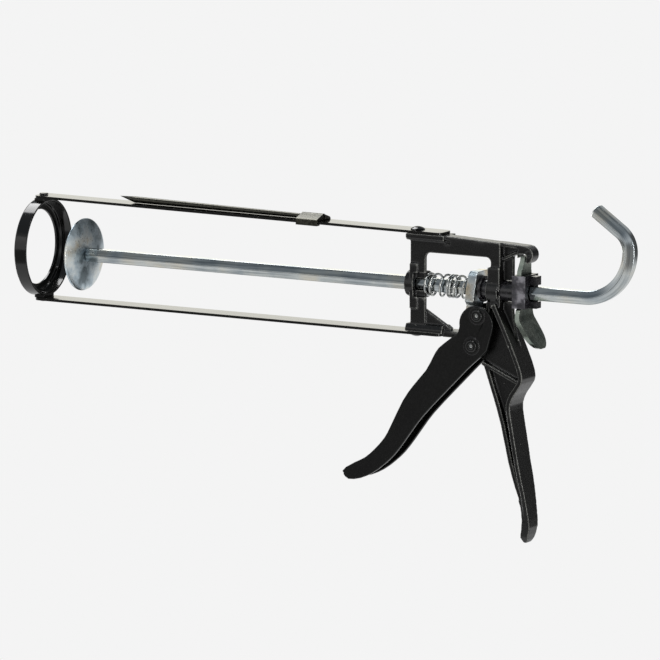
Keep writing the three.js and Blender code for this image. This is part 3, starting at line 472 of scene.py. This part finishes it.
glossEnamel = makeGlossEnamel()
powderCoat = makePowderCoat()
triggerCoat = makeTriggerCoat()
drawnZinc = makeDrawnZinc()
sheetZinc = makeSheetZinc()
dullZinc = makeDullZinc()
springSteel = makeSpringSteel()
moulding = makeMoulding()
rubbedMoulding = makeRubbedMoulding()
gunmetal = makeGunmetal()
print("materials made")


ringSizes = {"outer": 0.0273, "wall": 0.0012, "depth": 0.0078, "front": -0.0045, "flange": 0.0012,
             "hole": 0.0209, "step": 0.0243, "stepRun": 0.0004, "stepRise": 0.0014, "rounding": 0.0013,
             "edge": 0.00025, "padHalf": 0.006, "padLength": 0.0064, "padSeat": 0.02802, "padCorner": 0.0008,
             "padEdge": 0.0002, "askew": 4.3}


def makeRing():                       # a pressed ring whose turned-in flange stops the cartridge's shoulder
    s = ringSizes
    inner = s["outer"] - s["wall"]
    step = s["flange"] + s["stepRise"]
    profile = [(s["outer"], s["depth"])]
    profile += cornerArc(s["outer"] - s["rounding"], s["rounding"], s["rounding"], 0, -90, 6)
    profile += [(s["hole"], 0), (s["hole"], s["flange"]), (s["step"], s["flange"]),
                (s["step"] + s["stepRun"], step), (inner, step), (inner, s["depth"])]
    ring = turned("front_ring_enamelled", profile, alongX, facets=144, hollow=True)
    rounded(ring, s["edge"], 2, 40)
    for side in (1, -1):              # the flats that the rails are riveted to
        foot = math.sqrt(s["outer"] ** 2 - s["padHalf"] ** 2) - s["wall"] / 2
        bpy.ops.object.select_all(action="DESELECT")
        bpy.ops.mesh.primitive_cube_add(
            size=1, location=(s["depth"] - s["padLength"] / 2, 0, side * (s["padSeat"] + foot) / 2),
            scale=(s["padLength"], s["padHalf"] * 2, s["padSeat"] - foot))
        pad = settled(bpy.context.object)
        selectEdges(pad, lambda a, b: abs(a.z - b.z) > 0.0001)
        bpy.ops.mesh.bevel(offset=s["padCorner"], segments=3)
        rounded(pad, s["padEdge"], 2)
        applied(ring, "BOOLEAN", operation="UNION", solver="EXACT", object=pad)
        bpy.data.objects.remove(pad)
    askew = Matrix.Rotation(math.radians(s["askew"]), 4, "Z") @ Matrix.Translation((s["front"], 0, 0))
    settled(ring, inCradle((topRivet + bottomRivet) / 2, askew))
    return finished(ring, "front_ring", glossEnamel)


railSizes = {"edge": 0.00015}         # rolled strip steel has barely rounded edges


def makeRail(node, name):
    rail = copyOf(node, name)
    rounded(rail, railSizes["edge"], 2, 50)
    return finished(rail, node, glossEnamel, smoothAngle=50)


ringRivetSizes = {"head": 0.0025, "headHeight": 0.0008, "crown": 0.0004, "top": 0.0004, "shank": 0.0016,
                  "tail": 0.0023, "tailHeight": 0.0008, "tailEdge": 0.0003, "foot": 0.0005}
railRivetSizes = {"head": 0.004, "headHeight": 0.0016, "headEdge": 0.0001, "rim": 0.0003, "domeSteps": 12,
                  "shank": 0.0021, "tail": 0.003, "tailHeight": 0.0012, "tailEdge": 0.0003, "foot": 0.0006}


insideBox = 0.00001                   # keeps a rivet's turned head within its solid's box


def reach(node, centre):              # how far a rivet's two ends lie from the middle line, nearer end first
    ends = [abs(corner.z - centre.z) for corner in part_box(node)]
    return min(ends), max(ends) - insideBox


def makeRingRivet(node, name, turn):  # a flat-headed rivet through the rail and the ring
    s = ringRivetSizes
    centre = (topRivet + bottomRivet) / 2
    foot, top = reach(node, centre)
    edge = s["tailEdge"]
    profile = [(s["foot"], foot)] + cornerArc(s["tail"] - edge, foot + edge, edge, -90, 0, 3)
    profile += [(s["tail"], foot + s["tailHeight"]), (s["shank"], foot + s["tailHeight"]),
                (s["shank"], top - s["headHeight"]), (s["head"], top - s["headHeight"])]
    profile += cornerArc(s["head"] - s["crown"], top - s["crown"], s["crown"], 0, 90, 4)
    profile += [(s["top"], top)]
    rivet = turned(name, profile, inCradle(centre, turn), facets=32)
    return finished(rivet, node, glossEnamel)


def makeRailRivet(node, name, turn):  # a snap-headed rivet through the rail and the body's seat
    s = railRivetSizes
    centre = middleOf("rail_rivet_top", "rail_rivet_bottom")
    foot, top = reach(node, centre)
    rimTop = top - s["headHeight"] + s["rim"]
    dome = top - rimTop
    sphere = (s["head"] ** 2 + dome ** 2) / (2 * dome)
    profile = [(s["foot"], foot), (s["tail"] - s["tailEdge"], foot), (s["tail"], foot + s["tailEdge"]),
               (s["tail"], foot + s["tailHeight"]), (s["shank"], foot + s["tailHeight"]),
               (s["shank"], top - s["headHeight"]), (s["head"] - s["headEdge"], top - s["headHeight"])]
    rim = math.asin(s["head"] / sphere)
    for step in range(s["domeSteps"]):              # the dome, from its rim up to a small flat
        lean = rim * (1 - step / s["domeSteps"])
        profile.append((sphere * math.sin(lean), top - sphere + sphere * math.cos(lean)))
    rivet = turned(name, profile, inCradle(centre, turn), facets=40)
    return finished(rivet, node, glossEnamel, smoothAngle=50)


makeRing()
makeRail("top_rail", "top_rail_enamelled")
makeRail("bottom_rail", "bottom_rail_enamelled")
makeRingRivet("ring_rivet_top", "ring_rivet_top_enamelled", None)
makeRingRivet("ring_rivet_bottom", "ring_rivet_bottom_enamelled", upsideDown)
makeRailRivet("rail_rivet_top", "rail_rivet_top_enamelled", None)
makeRailRivet("rail_rivet_bottom", "rail_rivet_bottom_enamelled", upsideDown)
print("ring, rails and rivets made")


castingSizes = {"voxel": 0.00036, "adaptivity": 0.00002, "smoothing": 7}


def makeCasting():                    # a die casting: every edge and inner corner is softly rounded
    casting = copyOf("body_casting", "body_casting_coated")
    s = castingSizes
    applied(casting, "REMESH", mode="VOXEL", voxel_size=s["voxel"], adaptivity=s["adaptivity"])
    applied(casting, "SMOOTH", factor=0.5, iterations=s["smoothing"])
    return finished(casting, "body_casting", powderCoat, 180, flatFaces=False)


makeCasting()
print("casting made")


rodSizes = {"acrossFlats": 0.0073, "edge": 0.0004, "bendRadius": 0.026, "tipRadius": 0.013, "tipTurn": 55,
            "tailLength": 0.0185, "endChamfer": 0.0008, "endShare": 0.8,        # the bar and its hook
            "gap": 0.00005, "spigot": 0.0026, "overlap": 0.0005,                # its turned-down front end
            "head": 0.0042, "headHeight": 0.0015, "headFlat": 0.0008, "headTaper": 0.7}


def makeRod():                        # drawn hexagon bar, bent to a hook and peened at its front end
    s = rodSizes
    low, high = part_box("push_rod")
    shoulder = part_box("piston_disc")[1].x + s["gap"]
    bendX = high.x - s["bendRadius"] - s["acrossFlats"] / 2
    bpy.ops.object.select_all(action="DESELECT")
    bpy.ops.mesh.primitive_circle_add(
        vertices=6, radius=s["acrossFlats"] / math.sqrt(3), fill_type="NGON",
        location=(shoulder, 0, axisZ), rotation=(0, math.radians(90), 0))
    rod = settled(bpy.context.object)
    rod.name = "push_rod_plated"
    editMode(rod)
    bpy.ops.mesh.select_all(action="SELECT")
    bpy.ops.mesh.extrude_region_move(TRANSFORM_OT_translate={"value": (bendX - shoulder, 0, 0)})
    bendCentre = (bendX, 0, axisZ + s["bendRadius"])
    bpy.ops.mesh.spin(steps=30, angle=math.radians(90), center=bendCentre, axis=(0, 1, 0))
    turn = math.radians(s["tipTurn"])
    tipCentre = (bendX + s["bendRadius"] - s["tipRadius"], 0, axisZ + s["bendRadius"])
    bpy.ops.mesh.spin(steps=14, angle=turn, center=tipCentre, axis=(0, 1, 0))
    out = Vector((-math.sin(turn), 0, math.cos(turn)))
    for length in (s["tailLength"] - s["endChamfer"], s["endChamfer"]):
        bpy.ops.mesh.extrude_region_move(TRANSFORM_OT_translate={"value": out * length})
    bpy.ops.transform.resize(value=(s["endShare"],) * 3)
    bpy.ops.mesh.select_all(action="SELECT")
    bpy.ops.mesh.remove_doubles(threshold=0.000001)
    bpy.ops.mesh.normals_make_consistent(inside=False)
    rounded(rod, s["edge"], 3, 30)
    profile = [(s["headFlat"], 0), (s["head"] * s["headTaper"], 0), (s["head"], s["headHeight"] / 2),
               (s["head"], s["headHeight"]), (s["spigot"], s["headHeight"]),
               (s["spigot"], shoulder + s["overlap"] - low.x)]
    spigot = turned("spigot", profile, Matrix.Translation((low.x, 0, axisZ)) @ alongX, facets=32)
    joined(rod, spigot)
    placeOnBar = rod.data.attributes.new("placeOnBar", "FLOAT_VECTOR", "POINT")
    for point, value in zip(rod.data.vertices, placeOnBar.data):
        value.vector = alongBar(point.co, bendX)
    return finished(rod, "push_rod", drawnZinc)


def alongBar(point, bendX):           # a point's place as if the bar were straight, for its draw streaks and painted reflection bands
    s = rodSizes
    if point.x < bendX:
        return point.x, point.y, point.z - axisZ
    centre = Vector((bendX, 0, axisZ + s["bendRadius"]))
    if point.z < centre.z:
        angle = math.atan2(point.x - centre.x, centre.z - point.z)
        return bendX + angle * s["bendRadius"], point.y, s["bendRadius"] - (point - centre).xz.length
    start = bendX + s["bendRadius"] * math.pi / 2
    centre.x += s["bendRadius"] - s["tipRadius"]
    angle = min(math.atan2(point.z - centre.z, point.x - centre.x), math.radians(s["tipTurn"]))
    turn = Vector((math.cos(angle), math.sin(angle)))
    away = (point - centre).xz
    rest = away.dot(Vector((-turn.y, turn.x)))
    return start + angle * s["tipRadius"] + rest, point.y, s["tipRadius"] - away.dot(turn)


discSizes = {"thickness": 0.001, "dish": 0.0022, "hub": 0.006, "bore": 0.00275, "rim": 0.0004, "rings": 12}


def makeDisc():                       # a dished piston plate, pressed from sheet
    s = discSizes
    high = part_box("piston_disc")[1]
    rear = []
    for step in range(s["rings"] + 1):
        share = step / s["rings"]
        rear.append((s["hub"] + (high.y - s["hub"]) * share, -s["dish"] * share ** 2))
    front = [(radius, along - s["thickness"]) for radius, along in rear]
    profile = [(s["bore"], 0)] + rear + front[::-1] + [(s["bore"], -s["thickness"])]
    place = Matrix.Translation((high.x, 0, axisZ)) @ alongX
    disc = turned("piston_disc_plated", profile, place, 96, hollow=True)
    rounded(disc, s["rim"], 3, 60)
    return finished(disc, "piston_disc", sheetZinc)


washerSizes = {"piston_washer": {"bore": 0.00275, "edge": 0.00025},
               "thrust_flange": {"bore": 0.00565, "edge": 0.0003}}


def makeWasher(node, name, material):         # a flat washer on the rod's axis
    s = washerSizes[node]
    low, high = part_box(node)
    depth = high.x - low.x
    profile = [(high.y, 0), (high.y, depth), (s["bore"], depth), (s["bore"], 0)]
    washer = turned(name, profile, Matrix.Translation((low.x, 0, axisZ)) @ alongX, hollow=True)
    rounded(washer, s["edge"], 2)
    return finished(washer, node, material)


makeRod()
makeDisc()
makeWasher("piston_washer", "piston_washer_plated", sheetZinc)
makeWasher("thrust_flange", "thrust_flange_moulded", moulding)
print("rod and piston made")


# turns are where each coil crosses the near side, from the spring's front seat;
# rearGap leaves room for the plate when the thumb lever pushes it forward
springSizes = {"wire": 0.0013, "turns": [0.00095, 0.00405, 0.01035, 0.01455, 0.01615, 0.01885, 0.02425],
               "frontTurn": 0.35, "rearTurn": 0.6, "rearGap": 0.0023, "give": 0.0018, "steps": 34}
plateTilt = 8                         # how many degrees the plate leans, and the spring's rear coil with it


def smoothPlace(points, at):          # a smooth place between evenly counted points
    i = min(len(points) - 2, int(at))
    t = at - i
    a, b, c, d = (Vector(points[max(0, min(len(points) - 1, i + k))]) for k in (-1, 0, 1, 2))
    bend, twist = 2 * a - 5 * b + 4 * c - d, 3 * b - a - 3 * c + d
    return 0.5 * (2 * b + (c - a) * t + bend * t ** 2 + twist * t ** 3)


def makeSpring():                     # its coils sit unevenly: some close together, the rest open
    s = springSizes
    low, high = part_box("main_spring")
    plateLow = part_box("drive_plate")[0]
    slope = math.tan(math.radians(plateTilt))
    backSeat = plateLow.x + (axisZ - plateLow.z) * slope - low.x    # where the plate's front crosses the axis
    last = len(s["turns"]) - 1
    route = [(-s["frontTurn"], s["wire"] / 2)] + list(enumerate(s["turns"]))
    route += [(last + s["rearTurn"], backSeat - s["rearGap"])]
    radius = high.y - s["wire"] / 2
    curve = bpy.data.curves.new("spring_wire", "CURVE")
    curve.dimensions = "3D"
    curve.bevel_depth = s["wire"] / 2
    curve.bevel_resolution = 3
    curve.use_fill_caps = True
    line = curve.splines.new("POLY")
    total = (len(route) - 1) * s["steps"]
    line.points.add(total)
    for step in range(total + 1):
        turn, forward = smoothPlace(route, step / s["steps"])
        z = radius * math.sin(turn * 2 * math.pi)
        share = min(1, max(0, turn - last + 1))
        lean = share * share * (3 - 2 * share) * slope * z
        y = -radius * math.cos(turn * 2 * math.pi)
        line.points[step].co = (low.x + forward + lean, y, axisZ + z, 1)
    wire = bpy.data.objects.new("main_spring_wire", curve)
    bpy.context.scene.collection.objects.link(wire)
    pick(wire)
    bpy.ops.object.convert(target="MESH")
    spring = finished(bpy.context.object, "main_spring", springSteel, 60, flatFaces=False)
    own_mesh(spring)
    return spring


drivePlateSizes = {"edge": 0.0006}


def makeDrivePlate():                 # a thick stamped plate that grips the rod when it tilts
    plate = copyOf("drive_plate", "drive_plate_plated")
    rounded(plate, drivePlateSizes["edge"], 3)
    return finished(plate, "drive_plate", sheetZinc)


blockSizes = {"edge": 0.0004, "sideDepth": 0.0002}


def makeBlock():                      # the release block with its sleeve
    block = copyOf("release_block", "release_block_moulded")
    rounded(block, blockSizes["edge"], 2)
    finished(block, "release_block", moulding)
    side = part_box("release_block")[1].y - blockSizes["sideDepth"]
    return faced(block, rubbedMoulding, lambda centre, normal: abs(normal.y) > 0.9 and abs(centre.y) > side)


leverSizes = {"bendBelow": 0.0135, "bendReach": 0.0022, "bendWidth": 0.004, "bendRadius": 0.0018,
              "edge": 0.0004}


def makeLever():                      # a stamped thumb lever, bent back at its tab
    s = leverSizes
    lever = copyOf("release_lever", "release_lever_plated")
    bendZ = axisZ - s["bendBelow"]
    selectEdges(lever, lambda a, b: abs(a.y - b.y) > s["bendWidth"]
                and max(abs(a.z - bendZ), abs(b.z - bendZ)) < s["bendReach"])
    bpy.ops.mesh.bevel(offset=s["bendRadius"], segments=5)
    rounded(lever, s["edge"], 2, 35)
    return finished(lever, "release_lever", dullZinc)


makeSpring()
makeDrivePlate()
makeBlock()
makeLever()
print("drive made")


triggerSizes = {"edge": 0.0005}


def makeTrigger():                    # pressed steel, folded to a channel with a rolled toe
    trigger = copyOf("trigger", "trigger_coated")
    rounded(trigger, triggerSizes["edge"], 3, 35, use_clamp_overlap=False)
    return finished(trigger, "trigger", triggerCoat)


# dimpleSides are the dimple's sides, as shares of its radius and depth
pinSizes = {"headHeight": 0.0009, "dimple": 0.0015, "depth": 0.0006, "middle": 0.0003,
            "dimpleSides": ((0.55, 0.86), (0.85, 0.5), (1, 0.15)), "lip": 0.0002, "bare": 0.0009,
            "crown": 0.00088, "shank": {"trigger_pivot_pin": 0.0025, "trigger_drive_pin": 0.0017}}


def makePin(node, name):              # a hollow-ended rivet whose punched centres have lost their enamel
    s = pinSizes
    low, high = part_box(node)
    half = high.y
    head = (high.x - low.x) / 2
    side = [(s["middle"], half - s["depth"])]
    side += [(s["dimple"] * out, half - s["depth"] * deep) for out, deep in s["dimpleSides"]]
    side += [(s["dimple"] + s["lip"], half)]
    side += cornerArc(head - s["crown"], half - s["crown"], s["crown"], 90, 0, 5)
    side += [(head, half - s["headHeight"]), (s["shank"][node], half - s["headHeight"])]
    profile = side + [(radius, -distance) for radius, distance in side[::-1]]
    centre = Vector(((low.x + high.x) / 2, 0, (low.z + high.z) / 2))
    pin = turned(name, profile, Matrix.Translation(centre) @ alongY, facets=40)
    finished(pin, node, glossEnamel)
    return faced(pin, springSteel, lambda middle, normal: (middle - centre).xz.length < s["bare"])


bushSizes = {"edge": 0.0003}


def makeBush():                       # the bush on the upper rivet, which pushes the drive plate
    bush = copyOf("drive_bush", "drive_bush_steel")
    rounded(bush, bushSizes["edge"], 2)
    return finished(bush, "drive_bush", gunmetal)


makeTrigger()
makePin("trigger_pivot_pin", "trigger_pivot_rivet")
makePin("trigger_drive_pin", "trigger_drive_rivet")
makeBush()
print("trigger made")


def makeNeedle():                     # the needle that pierces a cartridge's seal
    needle = copyOf("puncture_needle", "puncture_needle_steel")
    return finished(needle, "puncture_needle", gunmetal, smoothAngle=60)


clipSizes = {"edge": 0.0003}


def makeClip():                       # folded from thin sheet, so its corners are round
    clip = copyOf("needle_clip", "needle_clip_steel")
    rounded(clip, clipSizes["edge"], 3)
    return finished(clip, "needle_clip", gunmetal)


makeNeedle()
makeClip()
print("needle and clip made")


cameraSizes = {"azimuth": 30, "elevation": 9, "distance": 3, "lens": 303.7, "aim": (-0.0957, -0.0264, 0.0448),
               "roll": 0.1}


def makeCamera():
    s = cameraSizes
    turn, rise = math.radians(s["azimuth"]), math.radians(s["elevation"])
    back = Vector((math.sin(turn) * math.cos(rise), -math.cos(turn) * math.cos(rise), math.sin(rise)))
    camera = bpy.data.objects.new("camera", bpy.data.cameras.new("camera"))
    bpy.context.scene.collection.objects.link(camera)
    camera.data.sensor_width = 36
    camera.data.lens = s["lens"]
    camera.data.clip_end = 20
    camera.location = Vector(s["aim"]) + back * s["distance"]
    facing = (-back).to_track_quat("-Z", "Y")
    camera.rotation_mode = "QUATERNION"
    camera.rotation_quaternion = facing @ Matrix.Rotation(math.radians(s["roll"]), 3, "Z").to_quaternion()
    bpy.context.scene.camera = camera


studioSizes = {"background": "#f4f4f4", "floorBelow": 0.45, "floorRadius": 1.1, "floorShare": 0.75,
               "ceiling": "#8b9196", "ceilingFrom": 0.25, "ceilingTo": 0.6,    # heights of the dim upper room
               # a dark flag's direction, the light it leaves, and the cosines where it starts and is whole
               "flags": [((-0.49, -0.86, -0.1), 0.25, 0.82, 0.96), ((0.5, 0.84, 0.12), 0.12, 0.87, 0.96),
                         ((0.5, -0.86, -0.12), 0.3, 0.9, 0.975)]}


def makeFloor():                      # a plain pale disc, below the gun as it is held up
    s = studioSizes
    low, high = frameSize
    bpy.ops.object.select_all(action="DESELECT")
    bpy.ops.mesh.primitive_circle_add(vertices=96, radius=s["floorRadius"], fill_type="NGON",
                                      location=((low.x + high.x) / 2, 0, low.z - s["floorBelow"]))
    floor = bpy.context.object
    floor.name = "floor"
    paper, tree = newMaterial("pale_paper")[:2]
    shader = addNode(tree, "ShaderNodeBsdfPrincipled", {
        "Base Color": toLinear(s["background"]), "Roughness": 0.9})
    pale = addNode(tree, "ShaderNodeEmission", {"Color": toLinear(s["background"])})
    paths = addNode(tree, "ShaderNodeLightPath")
    camera = addNode(tree, "ShaderNodeMath", {
        0: paths.outputs["Is Camera Ray"], 1: paths.outputs["Is Glossy Ray"]}, operation="MAXIMUM")
    seen = addNode(tree, "ShaderNodeMath", {
        0: camera.outputs["Value"], 1: paths.outputs["Is Transmission Ray"]}, operation="MAXIMUM")
    share = addNode(tree, "ShaderNodeMath", {
        0: seen.outputs["Value"], 1: s["floorShare"]}, operation="MULTIPLY")
    mixed = addNode(tree, "ShaderNodeMixShader", {
        "Fac": share.outputs["Value"], 1: shader.outputs["BSDF"], 2: pale.outputs["Emission"]})
    addNode(tree, "ShaderNodeOutputMaterial", {"Surface": mixed.outputs["Shader"]})
    floor.data.materials.append(paper)


# a pale backdrop all round; every ray but the camera's also meets a dim ceiling and dark flags
def makeWorld():
    s = studioSizes
    world = bpy.data.worlds.new("studio")
    bpy.context.scene.world = world
    world.use_nodes = True
    tree = world.node_tree
    tree.nodes.clear()
    way = addNode(tree, "ShaderNodeTexCoord").outputs["Generated"]
    height = addNode(tree, "ShaderNodeSeparateXYZ", {"Vector": way})
    upper = addNode(tree, "ShaderNodeMapRange", {
        "Value": height.outputs["Z"], "From Min": s["ceilingFrom"], "From Max": s["ceilingTo"]},
        interpolation_type="SMOOTHSTEP")
    shade = 1.0
    for towards, left, starts, whole in s["flags"]:
        side = addNode(tree, "ShaderNodeVectorMath", {0: way, 1: Vector(towards).normalized()},
                       operation="DOT_PRODUCT")
        flag = addNode(tree, "ShaderNodeMapRange", {
            "Value": side.outputs["Value"], "From Min": starts, "From Max": whole,
            "To Min": 1.0, "To Max": left}, interpolation_type="SMOOTHSTEP")
        shade = addNode(tree, "ShaderNodeMath", {0: shade, 1: flag.outputs["Result"]},
                        operation="MULTIPLY").outputs["Value"]
    room = addNode(tree, "ShaderNodeMix", {
        0: upper.outputs["Result"], 6: toLinear(s["background"]), 7: toLinear(s["ceiling"])},
        data_type="RGBA")
    flagged = addNode(tree, "ShaderNodeBackground", {"Color": room.outputs[2], "Strength": shade})
    backdrop = addNode(tree, "ShaderNodeBackground", {"Color": toLinear(s["background"])})
    paths = addNode(tree, "ShaderNodeLightPath")
    seen = addNode(tree, "ShaderNodeMixShader", {
        "Fac": paths.outputs["Is Camera Ray"],
        1: flagged.outputs["Background"], 2: backdrop.outputs["Background"]})
    addNode(tree, "ShaderNodeOutputWorld", {"Surface": seen.outputs["Shader"]})


def makeSoftbox(name, place, size, watts, colour="#ffffff", aim=(-0.1, 0, 0.04)):
    lamp = bpy.data.lights.new(name, "AREA")
    lamp.shape = "RECTANGLE"
    lamp.color = toLinear(colour)[:3]
    lamp.size, lamp.size_y = size
    lamp.energy = watts
    softbox = bpy.data.objects.new(name, lamp)
    bpy.context.scene.collection.objects.link(softbox)
    softbox.location = place
    softbox.rotation_mode = "QUATERNION"
    softbox.rotation_quaternion = (Vector(aim) - Vector(place)).to_track_quat("-Z", "Y")


makeCamera()
makeFloor()
makeWorld()
makeSoftbox("overhead_softbox", (-0.84, 0.4, 1.3), (0.8, 0.8), 15)
makeSoftbox("front_overhead_softbox", (0.05, -0.6, 1.3), (0.5, 0.3), 4)
makeSoftbox("left_back_softbox", (-1.1, 1.8, 0.45), (1.6, 0.8), 2.2, "#fbf7da")
makeSoftbox("left_front_softbox", (-1.1, -1.9, 0.5), (1.4, 1.0), 3)
makeSoftbox("left_low_softbox", (-1.15, 0.35, -0.4), (0.25, 0.6), 2)
makeSoftbox("right_strip_softbox", (1.18, -0.74, 0.05), (0.12, 1.0), 5)

scene = bpy.context.scene
scene.view_settings.view_transform = "Standard"
print("scene ready")
